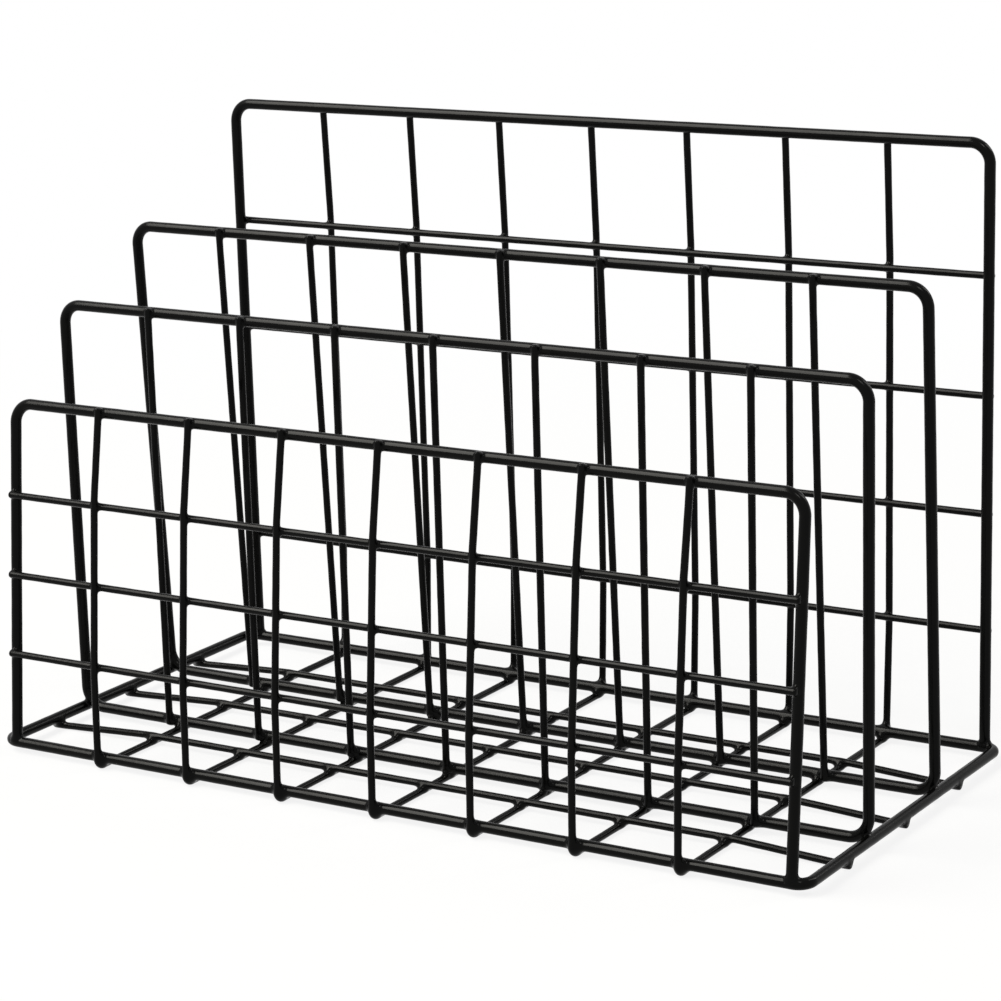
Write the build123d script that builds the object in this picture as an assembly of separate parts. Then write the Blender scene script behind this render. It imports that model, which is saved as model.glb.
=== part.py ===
from build123d import *
import math
import os

# Wire letter rack: a flat base rim, a front hoop, two dividers and a back hoop of thick wire,
# held together by a grid of thin wires. Millimetres, +Z up, +Y towards the back.
# The origin is on the desk, under the middle of the rack.

# Wire stock
frame_wire = 3.65           # diameter of the rim, the hoops and the dividers
grid_wire = 2.4             # diameter of every thin wire
weld_sink = 0.5             # how far two crossing wires are pressed into each other

# Base rim
rim_width = 300.0           # over the outside, left to right
rim_depth = 142.5           # over the outside, front to back
rim_bend = 4.5              # bend radius at the middle of the wire

# Hoops and dividers: heights are from the desk to the top of each
front_height = 119.0
front_divider_height = 145.8
rear_divider_height = 166.0
back_height = 201.5
hoop_bend = 9.0             # bend radius of the upper corners
divider_foot_bend = 7.0     # bend radius of a divider's lower corners
foot_share = 0.45           # hoop feet stop above the rim's middle by this share of the wire radius
front_lean = 5.2            # degrees that the front hoop leans back
rear_divider_lean = 2.5     # degrees that the rear divider leans forward
front_divider_place = 43.0  # from the front of the rim to each divider, between wire middles
rear_divider_place = 91.0

# Grid
grid_cells = 8              # cells across every frame
front_wires = 3
front_wire_first = 30.5     # from the rim to the lowest front wire, along the hoop
front_wire_pitch = 26.6
back_wires = 4
back_wire_pitch = 38.5
base_wires = 3
base_wire_first = 27.0      # from the front of the rim to the first base wire
base_wire_pitch = 39.75
weld_hug = 2.5              # a thin wire stays straight this far to each side of a weld
weld_bend = 20.0            # bend radius where it then turns off to the next layer
end_inset = 1.0             # level wires stop this far inside the outer side of their hoop
base_end_inset = 0.2        # base wires stop this far inside the outer side of the rim
end_proud = 0.1             # front and divider wires stand this far above the bar they end on
back_end_drop = 1.0         # at the back they stop this far below the top of the bar
end_chamfer = 0.35          # cut ends are broken by this much
divider_wire_gap = 0.3      # from a divider wire's lower end to the cradle wires below it

# Distances between wire middles where two wires are welded
frame_radius = frame_wire / 2
grid_radius = grid_wire / 2
frame_lap = frame_wire - weld_sink
mixed_lap = frame_radius + grid_radius - weld_sink
grid_lap = grid_wire - weld_sink

# Main places, all at wire middles
rim_half_width = (rim_width - frame_wire) / 2
rim_span = rim_depth - frame_wire
front_reach = mixed_lap + grid_radius
back_reach = mixed_lap + grid_lap + grid_radius
front_y = front_reach - (front_reach + rim_span + back_reach) / 2
back_y = front_y + rim_span
cradle_z = grid_radius
rim_z = cradle_z + mixed_lap
hoop_half_width = rim_half_width - rim_bend

# A divider's lower bends rest on the inner shoulders of the rim
bend_to_rim = divider_foot_bend + frame_lap
shoulder = math.sqrt(bend_to_rim**2 - divider_foot_bend**2)
divider_half_width = rim_half_width + divider_foot_bend - shoulder


def round_wire(path, diameter):
    """Round wire along a path of straight runs and tangent bends."""
    start = Plane(origin=path @ 0, z_dir=path % 0)
    return sweep(start * Circle(diameter / 2), path=path)


def cut_ends(piece, points):
    """Break the two cut ends of a thin wire, found at their middles."""
    rims = [piece.edges().filter_by(GeomType.CIRCLE).sort_by_distance(point)[0] for point in points]
    return chamfer(rims, end_chamfer)


def standing_plane(y, lean=0.0):
    """Plane of a frame on the rim: X across, Y up the frame, Z out of its front."""
    tilt = math.radians(lean)
    return Plane(origin=(0, y, rim_z), x_dir=(1, 0, 0), z_dir=(0, -math.cos(tilt), math.sin(tilt)))


def rise(height, lean=0.0):
    """Length up a leaning frame, from the rim to its top bar, for a height above the desk."""
    return (height - frame_radius - rim_z) / math.cos(math.radians(lean))


front_plane = standing_plane(front_y, front_lean)
front_divider_plane = standing_plane(front_y + front_divider_place)
rear_divider_plane = standing_plane(front_y + rear_divider_place, -rear_divider_lean)
back_plane = standing_plane(back_y)
front_rise = rise(front_height, front_lean)
front_divider_rise = rise(front_divider_height)
rear_divider_rise = rise(rear_divider_height, rear_divider_lean)
back_rise = rise(back_height)

front_wire_levels = [front_wire_first + front_wire_pitch * i for i in range(front_wires)]
back_wire_levels = [back_wire_pitch * (i + 1) for i in range(back_wires)]
base_wire_places = [front_y + base_wire_first + base_wire_pitch * i for i in range(base_wires)]


def across(half_width):
    """Places of the thin wires that divide a frame into equal cells."""
    cell = 2 * half_width / grid_cells
    return [cell * i - half_width for i in range(1, grid_cells)]


def make_rim():
    """Closed rounded rectangle lying flat."""
    middle = Plane((0, (front_y + back_y) / 2, rim_z))
    outline = RectangleRounded(2 * rim_half_width, rim_span, rim_bend)
    return round_wire((middle * outline).wire(), frame_wire)


def make_hoop(plane, top, rim):
    """Upside-down U whose feet are shaped to the rim that they stand on."""
    foot = foot_share * frame_radius
    path = FilletPolyline(
        (-hoop_half_width, foot), (-hoop_half_width, top), (hoop_half_width, top), (hoop_half_width, foot),
        radius=hoop_bend)
    return round_wire(plane * path, frame_wire) - rim


def make_divider(plane, top, rim):
    """Closed loop whose lower bends sit on the inner shoulders of the rim."""
    path = FilletPolyline(
        (-divider_half_width, 0), (divider_half_width, 0), (divider_half_width, top), (-divider_half_width, top),
        radius=[divider_foot_bend, divider_foot_bend, hoop_bend, hoop_bend], close=True)
    return round_wire(plane * path, frame_wire) - rim


def make_level_wire(plane, level, offset, hoop):
    """Straight thin wire across a hoop, on the side of its plane that the offset points to."""
    half = hoop_half_width + frame_radius - end_inset
    ends = [plane.from_local_coords((side * half, level, offset)) for side in (-1, 1)]
    piece = cut_ends(round_wire(Line(*ends), grid_wire), ends)
    return piece - hoop


def make_divider_wire(plane, top, divider):
    """Straight thin upright in front of a divider's two bars, at the middle of its width."""
    low = cradle_z + grid_radius + divider_wire_gap - rim_z
    ends = [plane.from_local_coords((0, level, mixed_lap)) for level in (low, top + frame_radius + end_proud)]
    piece = cut_ends(round_wire(Line(*ends), grid_wire), ends)
    return piece - divider


def make_base_wire(y, rim):
    """Thin wire that lies on the cradle wires and slants down to pass under the sides of the rim."""
    end = rim_half_width + frame_radius - base_end_inset
    outer = rim_half_width - weld_hug
    inner = across(hoop_half_width)[-1] + weld_hug
    low = cradle_z
    high = cradle_z + grid_lap
    side = Plane(origin=(0, y, 0), x_dir=(1, 0, 0), z_dir=(0, -1, 0))
    path = side * FilletPolyline(
        (-end, low), (-outer, low), (-inner, high), (inner, high), (outer, low), (end, low),
        radius=weld_bend)
    piece = cut_ends(round_wire(path, grid_wire), [path @ 0, path @ 1])
    return piece - rim


def foot_corner(point, rim_y, side):
    """Corner where a leg, from a point down against the outside of the rim, meets the base run.

    The side is 1 in front of the rim and -1 behind it.
    """
    inward = side * (rim_y - point.Y)
    drop = point.Z - rim_z
    slant = math.atan2(inward, drop) - math.asin(mixed_lap / math.hypot(inward, drop))
    return Vector(0, point.Y + side * (point.Z - cradle_z) * math.tan(slant), cradle_z)


def make_cradle_wire(crossed):
    """Thin wire down the front, under the base and up the back, outside all that it crosses.

    Each leg lies on the top bar, slants out over the level wires and back in to hug the rim.
    """
    touch = mixed_lap
    clear = mixed_lap + grid_lap

    def leg(plane, top, end, levels, side):
        """Points of one leg from its top end down, as (height up the frame, distance from it)."""
        steps = [
            (top + end, touch), (top - weld_hug, touch),
            (levels[-1] + weld_hug, clear), (levels[0] - weld_hug, clear)]
        return [plane.from_local_coords((0, level, side * out)) for level, out in steps]

    front_leg = leg(front_plane, front_rise, frame_radius + end_proud, front_wire_levels, 1)
    back_leg = leg(back_plane, back_rise, frame_radius - back_end_drop, back_wire_levels, -1)
    front_corner = foot_corner(front_leg[-1], front_y, 1)
    back_corner = foot_corner(back_leg[-1], back_y, -1)
    turns = [weld_bend] * 3
    path = FilletPolyline(
        *front_leg, front_corner, back_corner, *reversed(back_leg),
        radius=[*turns, mixed_lap, mixed_lap, *turns])
    piece = cut_ends(round_wire(path, grid_wire), [path @ 0, path @ 1])
    return piece - crossed


def main():
    base_rim = make_rim()
    front_hoop = make_hoop(front_plane, front_rise, base_rim)
    back_hoop = make_hoop(back_plane, back_rise, base_rim)
    front_divider = make_divider(front_divider_plane, front_divider_rise, base_rim)
    rear_divider = make_divider(rear_divider_plane, rear_divider_rise, base_rim)
    level_front = [make_level_wire(front_plane, level, mixed_lap, front_hoop) for level in front_wire_levels]
    level_back = [make_level_wire(back_plane, level, -mixed_lap, back_hoop) for level in back_wire_levels]
    base = [make_base_wire(y, base_rim) for y in base_wire_places]
    frames = [base_rim, front_hoop, front_divider, rear_divider, back_hoop]
    cradle_wire = make_cradle_wire([*frames, *level_front, *level_back, *base])
    front_divider_wire = make_divider_wire(front_divider_plane, front_divider_rise, front_divider)
    rear_divider_wire = make_divider_wire(rear_divider_plane, rear_divider_rise, rear_divider)

    nodes = {
        "base_rim": base_rim, "front_hoop": front_hoop, "front_divider": front_divider,
        "rear_divider": rear_divider, "back_hoop": back_hoop}
    rows = {"front_wire": level_front, "back_wire": level_back, "base_wire": base}
    repeats = {
        "cradle_wire": (cradle_wire, hoop_half_width),
        "front_divider_wire": (front_divider_wire, divider_half_width),
        "rear_divider_wire": (rear_divider_wire, divider_half_width)}
    for name, (piece, half_width) in repeats.items():
        rows[name] = [Pos(X=x) * piece for x in across(half_width)]
    for name, pieces in rows.items():
        for number, piece in enumerate(pieces, 1):
            nodes[f"{name}_{number}"] = piece

    os.makedirs("parts", exist_ok=True)
    for name, piece in nodes.items():
        export_step(piece, f"parts/{name}.step")


main()
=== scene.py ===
import itertools
import math
import bpy
import numpy as np
from mathutils import Matrix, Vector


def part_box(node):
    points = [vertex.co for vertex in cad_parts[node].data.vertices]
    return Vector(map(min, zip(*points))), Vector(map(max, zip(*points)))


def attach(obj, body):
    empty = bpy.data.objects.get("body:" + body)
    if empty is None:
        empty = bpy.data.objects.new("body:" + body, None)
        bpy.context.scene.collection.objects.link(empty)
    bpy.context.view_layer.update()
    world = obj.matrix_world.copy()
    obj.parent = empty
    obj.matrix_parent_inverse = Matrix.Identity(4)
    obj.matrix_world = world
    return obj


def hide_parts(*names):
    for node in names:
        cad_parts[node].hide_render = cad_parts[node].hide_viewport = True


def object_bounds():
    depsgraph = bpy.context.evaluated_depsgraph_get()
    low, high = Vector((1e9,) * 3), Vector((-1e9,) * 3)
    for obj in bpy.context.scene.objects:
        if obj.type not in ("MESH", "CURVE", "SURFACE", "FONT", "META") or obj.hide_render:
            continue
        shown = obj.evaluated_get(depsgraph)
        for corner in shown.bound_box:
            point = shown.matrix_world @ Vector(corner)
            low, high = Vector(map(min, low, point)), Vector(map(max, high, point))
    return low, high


# Wire letter rack in black enamel: thick frames held by a grid of thin wires, welded where they cross.
# Metres, +Z up, +Y towards the back, origin on the desk under the middle.
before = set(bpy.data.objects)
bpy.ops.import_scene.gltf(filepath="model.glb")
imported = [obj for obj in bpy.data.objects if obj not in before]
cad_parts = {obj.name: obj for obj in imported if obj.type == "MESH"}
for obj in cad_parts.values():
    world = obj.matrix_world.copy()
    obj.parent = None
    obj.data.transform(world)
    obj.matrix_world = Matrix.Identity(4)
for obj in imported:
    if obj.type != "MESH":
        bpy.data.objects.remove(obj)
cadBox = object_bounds()
mm = 0.001
upward = (0, 0, 1)
print("frame loaded:", len(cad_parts), "wires")


# Places read from the frame

def nodeBox(node):
    low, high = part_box(node)
    return np.array(low), np.array(high)


def nodesLike(stem):
    return sorted(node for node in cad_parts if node.rstrip("0123456789") == stem + "_")


rimLow, rimHigh = nodeBox("base_rim")
frameRadius = (rimHigh[2] - rimLow[2]) / 2
rimX = rimHigh[0] - frameRadius
rimZ = (rimLow[2] + rimHigh[2]) / 2
frontY = rimLow[1] + frameRadius
backY = rimHigh[1] - frameRadius
cradleNames = nodesLike("cradle_wire")
cradleLow, cradleHigh = nodeBox(cradleNames[0])
gridRadius = (cradleHigh[0] - cradleLow[0]) / 2
cradleZ = cradleLow[2] + gridRadius


def isFrameWire(radius):
    return radius > (frameRadius + gridRadius) / 2


def standingFrame(node, footY):
    # A frame on the rim: its half width, the unit vectors up it and out of its front, and its rise.
    # Of the two sides of its box, the one further from the foot belongs to the top bar and gives the lean.
    low, high = nodeBox(node)
    lean = max(high[1] - frameRadius - footY, low[1] + frameRadius - footY, key=abs)
    rise = np.array([0, lean, high[2] - frameRadius - rimZ])
    top = np.linalg.norm(rise)
    up = rise / top
    return {
        "half": (high[0] - low[0]) / 2 - frameRadius, "foot": np.array([0, footY, rimZ]),
        "up": up, "out": np.array([0, -up[2], up[1]]), "top": top}


def onFrame(standing, x, level, out):
    return standing["foot"] + [x, 0, 0] + level * standing["up"] + out * standing["out"]


frontFrame = standingFrame("front_hoop", frontY)
backFrame = standingFrame("back_hoop", backY)
dividerFrames = {
    "front_divider": standingFrame("front_divider", np.mean(nodeBox("front_divider"), axis=0)[1]),
    "rear_divider": standingFrame("rear_divider", nodeBox("rear_divider")[1][1] - frameRadius)}

# From the middle of a frame to a thin wire that lies on it, and to a second one over that
levelMiddle = np.mean(nodeBox("back_wire_4"), axis=0)
baseLow, baseHigh = nodeBox("base_wire_3")
baseEndZ = baseLow[2] + gridRadius
baseRunZ = baseHigh[2] - gridRadius
lap = abs((levelMiddle - backFrame["foot"]) @ backFrame["out"])
doubleLap = lap + baseRunZ - baseEndZ


# Wire routes: straight runs joined by tangent bends

loopStart = 0.45        # share of a closed wire's first run at which its rings begin


def routeLegs(corners, bends, closed=False):
    # A corner of turn t and bend r is cut back by r tan(t/2) on both sides.
    # Each leg has a start, a heading, a side to turn to, a curvature (0 on a run) and a length.
    corners = np.asarray(corners, float)
    if closed:
        begin = corners[0] + loopStart * (corners[1] - corners[0])
        corners = np.concatenate([[begin], corners[1:], [corners[0], begin]])
    runs = np.diff(corners, axis=0)
    headings = runs / np.linalg.norm(runs, axis=1)[:, None]
    legs = []
    place = corners[0]
    for corner, heading, onward, bend in zip(corners[1:-1], headings, headings[1:], bends):
        turn = math.acos(np.clip(heading @ onward, -1, 1))
        tangent = corner - heading * bend * math.tan(turn / 2)
        side = onward - heading * (onward @ heading)
        side = side / np.linalg.norm(side)
        legs.append((place, heading, side, 0.0, np.linalg.norm(tangent - place)))
        legs.append((tangent, heading, side, 1 / bend, bend * turn))
        place = corner + onward * bend * math.tan(turn / 2)
    legs.append((place, headings[-1], np.roll(headings[-1], 1), 0.0, np.linalg.norm(corners[-1] - place)))
    start, heading, side, curvature, length = (np.array(column) for column in zip(*legs))
    return {
        "start": start, "heading": heading, "side": side, "curvature": curvature, "length": length,
        "begins": np.concatenate([[0], np.cumsum(length)])}


def alongRoute(route, distance):
    # Point and heading at each distance: on a leg turned by a, the point has gone L sin(a)/a forward
    # and L sin(a/2) sin(a/2)/(a/2) sideways, which is L and 0 on a straight run.
    leg = np.clip(np.searchsorted(route["begins"], distance, side="right") - 1, 0, len(route["length"]) - 1)
    local = distance - route["begins"][leg]
    turn = (local * route["curvature"][leg])[:, None]
    forward = local[:, None] * np.sinc(turn / np.pi)
    sideways = local[:, None] * np.sin(turn / 2) * np.sinc(turn / 2 / np.pi)
    heading, side = route["heading"][leg], route["side"][leg]
    points = route["start"][leg] + forward * heading + sideways * side
    return points, np.cos(turn) * heading + np.sin(turn) * side


# Every wire of the rack, by the node that it stands for

wires = {}


def addWire(node, radius, out, corners, bends=(), ends="cut"):
    route = routeLegs(corners, bends, closed=ends == "loop")
    wires[node] = {"route": route, "radius": radius, "out": np.asarray(out, float), "ends": ends}


bendRadius = {"rim": 4.5 * mm, "top": 6.5 * mm, "foot": 7 * mm, "weld": 20 * mm}
weldHug = 2.5 * mm      # a thin wire stays straight this far to each side of a weld

addWire(
    "base_rim", frameRadius, upward,
    [(-rimX, frontY, rimZ), (rimX, frontY, rimZ), (rimX, backY, rimZ), (-rimX, backY, rimZ)],
    [bendRadius["rim"]] * 4, ends="loop")

# Hoops stand with their two feet on the rim
for node, standing in {"front_hoop": frontFrame, "back_hoop": backFrame}.items():
    half, top = standing["half"], standing["top"]
    turns = [(-half, 0), (-half, top), (half, top), (half, 0)]
    addWire(
        node, frameRadius, standing["out"], [onFrame(standing, x, level, 0) for x, level in turns],
        [bendRadius["top"]] * 2, ends="foot")

# Dividers are closed loops, from the bottom bar round
for node, standing in dividerFrames.items():
    half, top = standing["half"], standing["top"]
    turns = [(-half, 0), (half, 0), (half, top), (-half, top)]
    addWire(
        node, frameRadius, standing["out"], [onFrame(standing, x, level, 0) for x, level in turns],
        [bendRadius["foot"], bendRadius["top"], bendRadius["top"], bendRadius["foot"]], ends="loop")

# Level wires lie straight across a hoop, on the side away from the letters
levels = {}
for stem, standing in {"front_wire": frontFrame, "back_wire": backFrame}.items():
    levels[stem] = []
    for node in nodesLike(stem):
        low, high = nodeBox(node)
        middle = (low + high) / 2
        levels[stem].append((middle - standing["foot"]) @ standing["up"])
        tips = [(low[0], middle[1], middle[2]), (high[0], middle[1], middle[2])]
        addWire(node, gridRadius, standing["out"], tips)

# Base wires lie on the cradle wires and slant down under the sides of the rim
outermost = nodeBox(cradleNames[-1])[1][0] - gridRadius
outer, inner = rimX - weldHug, outermost + weldHug
for node in nodesLike("base_wire"):
    low, high = nodeBox(node)
    y = (low[1] + high[1]) / 2
    turns = [
        (low[0], baseEndZ), (-outer, baseEndZ), (-inner, baseRunZ),
        (inner, baseRunZ), (outer, baseEndZ), (high[0], baseEndZ)]
    addWire(node, gridRadius, (0, -1, 0), [(x, y, z) for x, z in turns], [bendRadius["weld"]] * 4)

# Divider wires stand in front of a divider's two bars
for divider, standing in dividerFrames.items():
    for node in nodesLike(divider + "_wire"):
        low, high = nodeBox(node)
        x = (low[0] + high[0]) / 2
        heights = [(z - rimZ - lap * standing["out"][2]) / standing["up"][2] for z in (low[2], high[2])]
        addWire(node, gridRadius, standing["out"], [onFrame(standing, x, level, lap) for level in heights])


def cradleLeg(standing, stem, side, x, tip):
    # One leg from its tip down: straight on the top bar, slanting out, straight over the level wires,
    # then along the line that just touches the circle of one lap round the rim, down to the base run.
    steps = [
        (tip, lap), (standing["top"] - weldHug, lap),
        (levels[stem][-1] + weldHug, doubleLap), (levels[stem][0] - weldHug, doubleLap)]
    leg = [onFrame(standing, x, level, side * out) for level, out in steps]
    inward = side * (standing["foot"][1] - leg[-1][1])
    drop = leg[-1][2] - rimZ
    slant = math.atan2(inward, drop) - math.asin(lap / math.hypot(inward, drop))
    corner = (x, leg[-1][1] + side * (leg[-1][2] - cradleZ) * math.tan(slant), cradleZ)
    return [*leg, corner]


# Cradle wires run down the front, under the base and up the back
proud = nodeBox("front_divider_wire_1")[1][2] - nodeBox("front_divider")[1][2]
frontTip = frontFrame["top"] + frameRadius + proud
for node in cradleNames:
    low, high = nodeBox(node)
    x = (low[0] + high[0]) / 2
    frontLeg = cradleLeg(frontFrame, "front_wire", 1, x, frontTip)
    backLeg = cradleLeg(backFrame, "back_wire", -1, x, high[2] - rimZ)
    turns = [bendRadius["weld"]] * 3
    addWire(node, gridRadius, (1, 0, 0), [*frontLeg, *reversed(backLeg)], [*turns, lap, lap, *turns])
print("routes laid:", len(wires))


# Welds: wherever two wires come together

welding = {
    "search": 1.0 * mm,                        # spacing of the samples along each wire
    "gap": 0.35 * mm,                          # wires no further apart than this are welded
    "level": 0.03 * mm}                        # samples this near to the closest are as close as it


def findWelds():
    # Samples every wire, and on each stretch of one that lies close to another takes the middle of
    # the closest part.
    for wire in wires.values():
        total = wire["route"]["begins"][-1]
        wire["samples"] = np.linspace(0, total, max(3, int(total / welding["search"])))
        wire["points"] = alongRoute(wire["route"], wire["samples"])[0]
        wire["welds"] = []
    for a, b in itertools.combinations(wires.values(), 2):
        reach = a["radius"] + b["radius"] + welding["gap"]
        apart = np.maximum(a["points"].min(0) - b["points"].max(0), b["points"].min(0) - a["points"].max(0))
        if apart.max() > reach:
            continue
        gaps = np.linalg.norm(a["points"][:, None] - b["points"][None], axis=2)
        nearest = gaps.min(axis=1)
        close = np.flatnonzero(nearest < reach)
        for stretch in np.split(close, np.flatnonzero(np.diff(close) > 1) + 1):
            if len(stretch) == 0:
                continue
            closest = stretch[nearest[stretch] < nearest[stretch].min() + welding["level"]]
            i = closest[len(closest) // 2]
            places = a["samples"][i], b["samples"][gaps[i].argmin()]
            height = a["points"][i][2]
            a["welds"].append({"place": places[0], "other": b, "otherPlace": places[1], "height": height})
            b["welds"].append({"place": places[1], "other": a, "otherPlace": places[0], "height": height})


findWelds()
print("welds found:", sum(len(wire["welds"]) for wire in wires.values()) // 2)


# Enamelled wire

coat = {
    "frameSides": 32, "gridSides": 24,         # points round each ring
    "runStep": 4 * mm, "bendStep": 0.07,       # ring spacing on runs, and in radians through bends
    "weldStep": 0.4 * mm, "weldReach": 5 * mm,     # ring spacing beside a weld, and how far that goes
    "otherStep": 0.3 * mm, "otherReach": 6 * mm,   # the same for the middle of the wire welded on
    "gridFill": 1.2, "baseFill": 2.2, "frameFill": 0.7,    # enamel in a weld, in radii of the thinner wire
    "rounds": 6,                               # steps in which that enamel settles
    "uneven": 0.03 * mm, "slowWaves": 13, "rippleLength": 9 * mm, "phaseStep": 2.399,
    "dome": 0.75 * mm, "domePower": 2.4,       # rounded end of a cut wire
    "domeRings": (0.015, 0.06, 0.15, 0.28, 0.45, 0.7)}     # places of its rings, as shares of its depth


def ringPlaces(wire):
    # Even steps along each leg, finer ones beside every weld, and for a cut end the rings of its dome.
    route = wire["route"]
    places = []
    for begin, length, curvature in zip(route["begins"], route["length"], route["curvature"]):
        step = min(coat["runStep"], coat["bendStep"] / curvature) if curvature else coat["runStep"]
        places.append(begin + np.linspace(0, length, math.ceil(length / step) + 1))
    near = np.arange(-coat["weldReach"], coat["weldReach"], coat["weldStep"])
    places += [weld["place"] + near for weld in wire["welds"]]
    total = route["begins"][-1]
    grain = coat["weldStep"] / 2
    places = np.round(np.concatenate(places) / grain) * grain
    if wire["ends"] == "loop":
        return np.unique(places[(places >= 0) & (places < total - grain)])
    if wire["ends"] == "foot":
        return np.unique(np.clip(places, 0, total))
    tip = coat["dome"] * np.array(coat["domeRings"])
    places = places[(places > coat["dome"]) & (places < total - coat["dome"])]
    return np.unique(np.concatenate([tip, places, total - tip]))


def middleOf(wire, place):
    # Points of a wire's middle line to both sides of a place; they stop short of an end by its radius.
    places = place + np.arange(-coat["otherReach"], coat["otherReach"], coat["otherStep"])
    total = wire["route"]["begins"][-1]
    if wire["ends"] == "loop":
        places = places % total
    else:
        places = np.clip(places, wire["radius"], total - wire["radius"])
    return alongRoute(wire["route"], places)[0]


def weldFill(wire, weld):
    # The wet enamel runs down before it sets, so the welds of the base hold more of it.
    thinner = min(wire["radius"], weld["other"]["radius"])
    if isFrameWire(thinner):
        return thinner * coat["frameFill"]
    low = weld["height"] < rimZ + frameRadius
    return thinner * (coat["baseFill"] if low else coat["gridFill"])


def pooledEnamel(wire, places, points, ring, thick):
    # Enamel fills the corner between two wires as a smooth union of their round sections: with a and b the
    # distances outside the two wires, its surface is where min(a, b) = max(fill - |a - b|, 0)^2 / (4 fill).
    # Each round moves the surface out by what is missing.
    total = wire["route"]["begins"][-1]
    pooled = np.zeros(thick.shape)
    for weld in wire["welds"]:
        away = places - weld["place"]
        if wire["ends"] == "loop":
            away = (away + total / 2) % total - total / 2
        near = np.flatnonzero(np.abs(away) < coat["weldReach"])
        other = weld["other"]
        middle = middleOf(other, weld["otherPlace"])
        fill = weldFill(wire, weld)
        lift = np.zeros((len(near), thick.shape[1]))
        for _ in range(coat["rounds"]):
            surface = points[near, None] + (thick[near] + lift)[..., None] * ring[near]
            outside = np.linalg.norm(surface[:, :, None] - middle, axis=-1).min(axis=-1) - other["radius"]
            corner = np.clip(fill - np.abs(lift - outside), 0, None) ** 2 / (4 * fill)
            lift = np.clip(lift - np.minimum(lift, outside) + corner, 0, fill / 2)
        pooled[near] = np.maximum(pooled[near], lift)
    return pooled


def wireGrid(wire, number):
    # Ring points lie at radius + coat round the route, counted from the wire's out vector.
    # The coat is a slow ripple along and round the wire, in whole waves so that a loop closes, plus the
    # enamel pooled at its welds. A cut end is a dome: 1 - (1 - depth)^p, to the power 1/p, of the radius.
    route, radius = wire["route"], wire["radius"]
    sides = coat["frameSides"] if isFrameWire(radius) else coat["gridSides"]
    places = ringPlaces(wire)
    points, headings = alongRoute(route, places)
    total = route["begins"][-1]
    out = np.broadcast_to(wire["out"], points.shape)
    across = np.cross(headings, out)
    angle = np.linspace(0, 2 * np.pi, sides, endpoint=False)
    ring = np.cos(angle)[None, :, None] * out[:, None] + np.sin(angle)[None, :, None] * across[:, None]
    phase = number * coat["phaseStep"]
    turns = 2 * np.pi * places / total
    slow = np.sin(coat["slowWaves"] * turns + phase)[:, None]
    waves = np.round(total / coat["rippleLength"])
    ripple = slow + np.sin(waves * turns[:, None] + angle + phase)
    thick = radius - coat["uneven"] + coat["uneven"] * ripple / 2
    if wire["ends"] == "cut":
        depth = np.clip(np.minimum(places, total - places)[:, None] / coat["dome"], 0, 1)
        thick = thick * (1 - (1 - depth) ** coat["domePower"]) ** (1 / coat["domePower"])
    pooled = pooledEnamel(wire, places, points, ring, thick)
    grid = points[:, None] + (thick + pooled)[..., None] * ring
    return np.clip(grid, np.array(cadBox[0]), np.array(cadBox[1])), pooled


def ringSurface(name, grid, pooled, loop):
    # Quads between neighbouring rings; the rings of an open wire end in a flat cap.
    rings, sides = grid.shape[:2]
    index = np.arange(rings * sides).reshape(rings, sides)
    beside, onward = np.roll(index, -1, 1), np.roll(index, -1, 0)
    quads = np.stack([index, beside, np.roll(beside, -1, 0), onward], -1)
    if loop:
        faces = quads.reshape(-1, 4).tolist()
    else:
        faces = quads[:-1].reshape(-1, 4).tolist() + [index[0, ::-1].tolist(), index[-1].tolist()]
    mesh = bpy.data.meshes.new(name)
    mesh.from_pydata(grid.reshape(-1, 3).tolist(), [], faces)
    mesh.polygons.foreach_set("use_smooth", np.ones(len(mesh.polygons), bool))
    mesh.attributes.new("pooled", "FLOAT", "POINT").data.foreach_set("value", pooled.ravel() / mm)
    mesh.update()
    piece = bpy.data.objects.new(name, mesh)
    bpy.context.scene.collection.objects.link(piece)
    return piece


# Materials

enamel = {
    "black": (0.0012, 0.0012, 0.0011, 1), "ior": 1.16,
    "glossy": 0.14, "dull": 0.25,              # roughness at the two ends of the patches
    "pooledGloss": 0.5,                        # how far a millimetre of pooled enamel moves towards glossy
    "peelScale": 700.0, "peelDetail": 1.5, "peelDepth": 0.02 * mm,
    "patchScale": 90.0, "patchDetail": 3.0, "patchLow": 0.3, "patchHigh": 0.7,
    "noiseRoughness": 0.5}


def addNode(tree, kind, operation=None, **sockets):
    node = tree.nodes.new(kind)
    if operation:
        node.operation = operation
    for socket, value in sockets.items():
        node.inputs[socket].default_value = value
    return node


def makeCoatGroup():
    # Orange peel of a dipped coat: fine height for the bump, and slower patches of gloss.
    group = bpy.data.node_groups.new("enamelCoat", "ShaderNodeTree")
    for socket in ("Peel Scale", "Patch Scale"):
        group.interface.new_socket(socket, in_out="INPUT", socket_type="NodeSocketFloat")
    for socket in ("Height", "Patches"):
        group.interface.new_socket(socket, in_out="OUTPUT", socket_type="NodeSocketFloat")
    entry, leave = group.nodes.new("NodeGroupInput"), group.nodes.new("NodeGroupOutput")
    place = group.nodes.new("ShaderNodeTexCoord")
    noises = [
        ("Peel Scale", "Height", enamel["peelDetail"]),
        ("Patch Scale", "Patches", enamel["patchDetail"])]
    for scale, output, detail in noises:
        noise = addNode(group, "ShaderNodeTexNoise", Detail=detail, Roughness=enamel["noiseRoughness"])
        group.links.new(place.outputs["Object"], noise.inputs["Vector"])
        group.links.new(entry.outputs[scale], noise.inputs["Scale"])
        group.links.new(noise.outputs["Fac"], leave.inputs[output])
    return group


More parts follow.
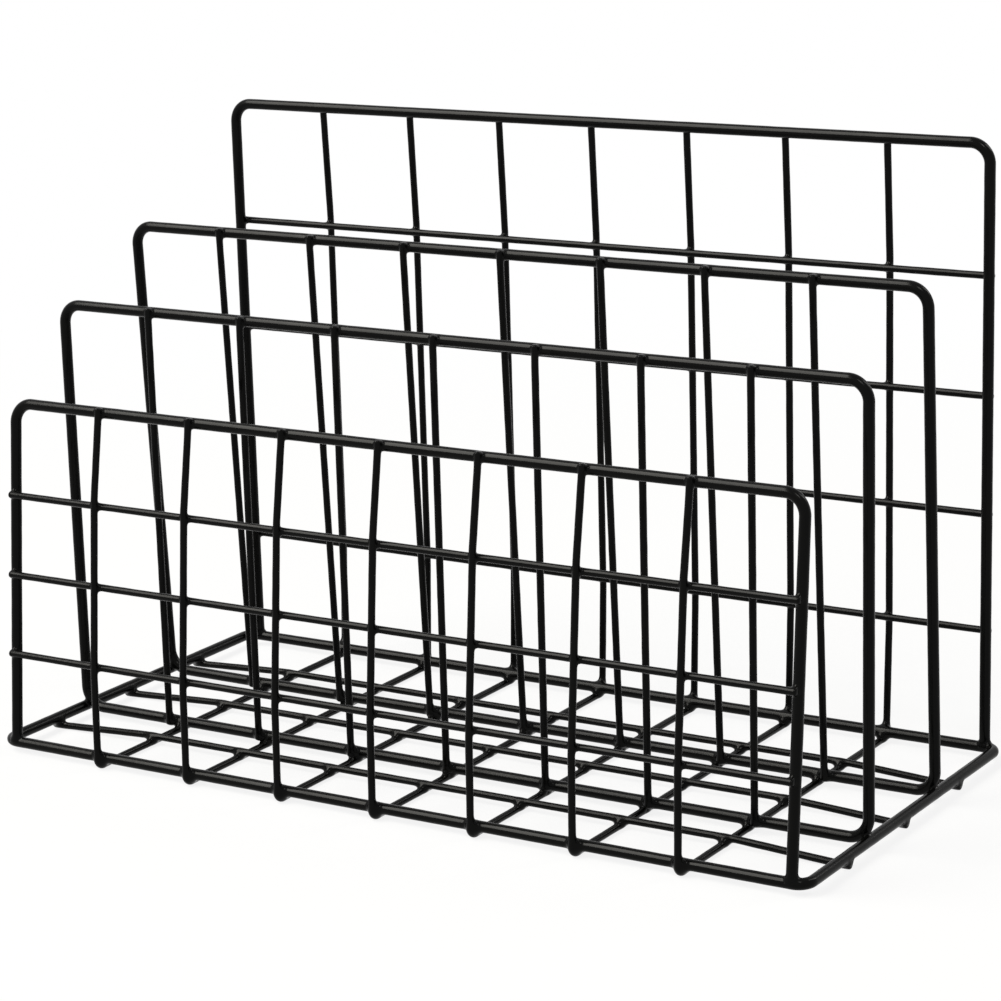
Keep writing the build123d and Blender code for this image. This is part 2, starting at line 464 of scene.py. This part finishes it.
def makeEnamel(coatGroup):
    # The noise patches, less a share of the pooled depth, run from glossy to dull.
    material = bpy.data.materials.new("blackEnamel")
    material.use_nodes = True
    tree = material.node_tree
    shader = tree.nodes["Principled BSDF"]
    shader.inputs["Base Color"].default_value = enamel["black"]
    shader.inputs["IOR"].default_value = enamel["ior"]
    skin = tree.nodes.new("ShaderNodeGroup")
    skin.node_tree = coatGroup
    skin.inputs["Peel Scale"].default_value = enamel["peelScale"]
    skin.inputs["Patch Scale"].default_value = enamel["patchScale"]
    pooled = tree.nodes.new("ShaderNodeAttribute")
    pooled.attribute_name = "pooled"
    wet = addNode(tree, "ShaderNodeMath", "MULTIPLY_ADD")
    wet.inputs[1].default_value = -enamel["pooledGloss"]
    tree.links.new(pooled.outputs["Fac"], wet.inputs[0])
    tree.links.new(skin.outputs["Patches"], wet.inputs[2])
    gloss = addNode(tree, "ShaderNodeMapRange", **{
        "From Min": enamel["patchLow"], "From Max": enamel["patchHigh"],
        "To Min": enamel["glossy"], "To Max": enamel["dull"]})
    tree.links.new(wet.outputs["Value"], gloss.inputs["Value"])
    tree.links.new(gloss.outputs["Result"], shader.inputs["Roughness"])
    bump = addNode(tree, "ShaderNodeBump", Strength=1.0, Distance=enamel["peelDepth"])
    tree.links.new(skin.outputs["Height"], bump.inputs["Height"])
    tree.links.new(bump.outputs["Normal"], shader.inputs["Normal"])
    return material


blackEnamel = makeEnamel(makeCoatGroup())

triangles = 0
for number, (node, wire) in enumerate(wires.items()):
    grid, pooled = wireGrid(wire, number)
    piece = ringSurface("enamelled_" + node, grid, pooled, wire["ends"] == "loop")
    piece.data.materials.append(blackEnamel)
    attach(piece, "root")
    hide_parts(node)
    triangles += 2 * len(piece.data.polygons)
print("wires coated:", len(wires), "with about", triangles, "triangles")


# Studio

pureWhite = (1, 1, 1, 1)
studio = {
    "floorHalf": 6.0, "floorColour": (0.65, 0.65, 0.65, 1),
    "floorShare": 0.85, "fadeFrom": 0.3, "fadeTo": 0.8,    # share of plain white, rising to 1 further out
    "worldLight": 0.1, "aim": (0.0, 0.0, 0.09)}
# A long strip on the left, rising from the front over the rack, a narrower one on the right that rises
# from behind, and a small softbox above the camera
keyStrip = {
    "from": (-2.00, -1.94, 2.96), "along": (0.0, 0.829, 0.559), "size": (1.65, 3.85), "power": 300.0,
    "colour": (1.0, 0.98, 0.91)}
backStrip = {
    "from": (1.15, 1.31, 1.59), "along": (0.0, -0.755, 0.656), "size": (0.40, 1.60), "power": 16.0,
    "colour": (1.0, 0.98, 0.94)}
cameraSoftbox = {
    "from": (0.70, -0.98, 1.69), "along": (0.0, 0.0, 1.0), "size": (0.45, 0.45), "power": 9.0,
    "colour": (1.0, 0.98, 0.94)}


def backgroundRays(tree):
    # 1 for rays that show the background: straight to the camera, mirrored or through glass.
    rays = tree.nodes.new("ShaderNodeLightPath")
    seen = rays.outputs["Is Camera Ray"]
    for kind in ("Is Glossy Ray", "Is Transmission Ray"):
        either = addNode(tree, "ShaderNodeMath", "MAXIMUM")
        tree.links.new(seen, either.inputs[0])
        tree.links.new(rays.outputs[kind], either.inputs[1])
        seen = either.outputs["Value"]
    return seen


def makeWorld():
    world = bpy.data.worlds.new("studioWorld")
    world.use_nodes = True
    tree = world.node_tree
    light = tree.nodes["Background"]
    light.inputs["Color"].default_value = pureWhite
    light.inputs["Strength"].default_value = studio["worldLight"]
    white = addNode(tree, "ShaderNodeBackground", Color=pureWhite, Strength=1.0)
    mix = tree.nodes.new("ShaderNodeMixShader")
    tree.links.new(backgroundRays(tree), mix.inputs["Fac"])
    tree.links.new(light.outputs["Background"], mix.inputs[1])
    tree.links.new(white.outputs["Background"], mix.inputs[2])
    tree.links.new(mix.outputs["Shader"], tree.nodes["World Output"].inputs["Surface"])
    bpy.context.scene.world = world


def makeFloorMaterial():
    # Plain diffuse that takes the shadow, mixed with white by the floor's share, for background rays alone.
    material = bpy.data.materials.new("paleFloor")
    material.use_nodes = True
    tree = material.node_tree
    tree.nodes.remove(tree.nodes["Principled BSDF"])
    plain = addNode(tree, "ShaderNodeBsdfDiffuse", Color=studio["floorColour"])
    white = addNode(tree, "ShaderNodeEmission", Color=pureWhite, Strength=1.0)
    place = tree.nodes.new("ShaderNodeTexCoord")
    away = addNode(tree, "ShaderNodeVectorMath", "LENGTH")
    tree.links.new(place.outputs["Object"], away.inputs[0])
    fade = addNode(tree, "ShaderNodeMapRange", **{
        "From Min": studio["fadeFrom"], "From Max": studio["fadeTo"], "To Min": studio["floorShare"]})
    fade.interpolation_type = "SMOOTHSTEP"
    tree.links.new(away.outputs["Value"], fade.inputs["Value"])
    share = addNode(tree, "ShaderNodeMath", "MULTIPLY")
    tree.links.new(fade.outputs["Result"], share.inputs[0])
    tree.links.new(backgroundRays(tree), share.inputs[1])
    mix = tree.nodes.new("ShaderNodeMixShader")
    tree.links.new(share.outputs["Value"], mix.inputs["Fac"])
    tree.links.new(plain.outputs["BSDF"], mix.inputs[1])
    tree.links.new(white.outputs["Emission"], mix.inputs[2])
    tree.links.new(mix.outputs["Shader"], tree.nodes["Material Output"].inputs["Surface"])
    return material


def makeFloor():
    half = studio["floorHalf"]
    mesh = bpy.data.meshes.new("floor")
    corners = [(-half, -half, 0), (half, -half, 0), (half, half, 0), (-half, half, 0)]
    mesh.from_pydata(corners, [], [(0, 1, 2, 3)])
    mesh.materials.append(makeFloorMaterial())
    floor = bpy.data.objects.new("floor", mesh)
    bpy.context.scene.collection.objects.link(floor)


def lookAlong(back, top=upward, roll=0.0):
    # Axes of a camera or lamp whose back points this way, with top at its upper side, turned by roll.
    back = np.asarray(back, float) / np.linalg.norm(back)
    right = np.cross(top, back)
    right = right / np.linalg.norm(right)
    up = np.cross(back, right)
    turn = math.radians(roll)
    rolledRight = math.cos(turn) * right + math.sin(turn) * up
    rolledUp = math.cos(turn) * up - math.sin(turn) * right
    return np.stack([rolledRight, rolledUp, back], axis=1)


def placed(thing, axes, place):
    matrix = np.eye(4)
    matrix[:3, :3] = axes
    matrix[:3, 3] = place
    thing.matrix_world = Matrix(matrix.tolist())


def makeSoftbox(name, box):
    lamp = bpy.data.lights.new(name, "AREA")
    lamp.shape = "RECTANGLE"
    lamp.size, lamp.size_y = box["size"]
    lamp.energy = box["power"]
    lamp.color = box["colour"]
    softbox = bpy.data.objects.new(name, lamp)
    bpy.context.scene.collection.objects.link(softbox)
    placed(softbox, lookAlong(np.subtract(box["from"], studio["aim"]), box["along"]), box["from"])


makeWorld()
makeFloor()
makeSoftbox("keyStrip", keyStrip)
makeSoftbox("backStrip", backStrip)
makeSoftbox("cameraSoftbox", cameraSoftbox)
print("studio lit")


# Camera at the photograph's viewing angle

shot = {
    "azimuth": 31.869, "elevation": 14.113, "roll": -1.589, "lens": 118.2, "sensor": 36.0,
    "place": (0.54589, -0.87059, 0.34426)}


def makeCamera():
    azimuth, elevation = math.radians(shot["azimuth"]), math.radians(shot["elevation"])
    level = math.cos(elevation)
    back = (math.sin(azimuth) * level, -math.cos(azimuth) * level, math.sin(elevation))
    data = bpy.data.cameras.new("photoCamera")
    data.lens, data.sensor_width, data.sensor_fit = shot["lens"], shot["sensor"], "HORIZONTAL"
    camera = bpy.data.objects.new("photoCamera", data)
    bpy.context.scene.collection.objects.link(camera)
    placed(camera, lookAlong(back, roll=shot["roll"]), shot["place"])
    bpy.context.scene.camera = camera


makeCamera()
bpy.context.scene.view_settings.view_transform = "Standard"
print("camera placed")
